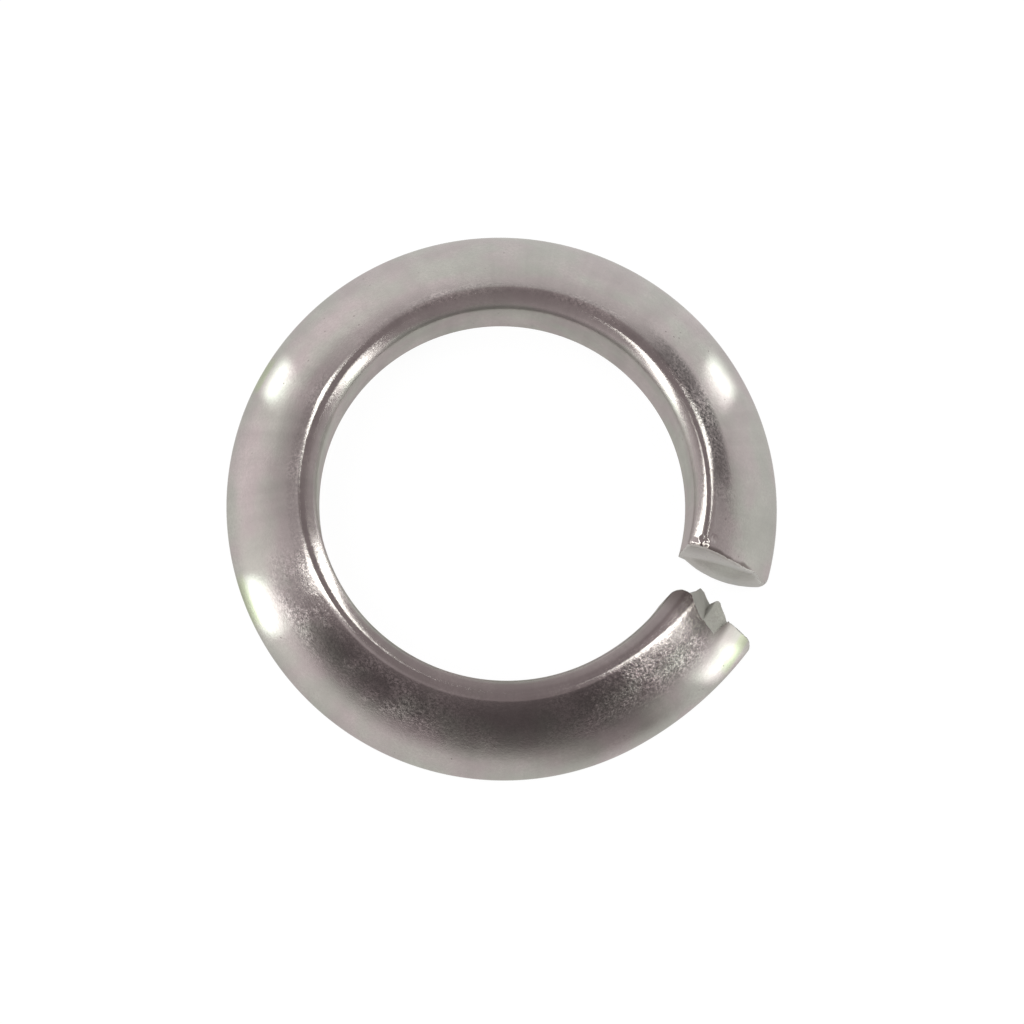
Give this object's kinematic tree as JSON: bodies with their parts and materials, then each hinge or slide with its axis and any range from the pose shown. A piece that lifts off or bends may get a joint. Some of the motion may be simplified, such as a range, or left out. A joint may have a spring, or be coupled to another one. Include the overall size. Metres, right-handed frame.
{
  "type": "conical spring washer",
  "caption": "Split spring washer with a plain bore, a flat base and a domed conical flank, its gap left between a sheared end and a torn end.",
  "frame": {"origin": "on the bore axis, at the plane of the flat base", "axes": "+Z along the bore axis from the base to the narrow crest; +X through the middle of the gap, with the sheared end on its +Y side and the torn end on its -Y side"},
  "size_m": [0.0278, 0.0274, 0.004],
  "materials": {
    "zinc_plated_steel": "bright zinc plating over cold-rolled spring steel, with faint pitting and a dull, rough fracture at the torn end"
  },
  "bodies": {
    "root": {"spring_washer": "zinc_plated_steel"}
  },
  "joints": []
}
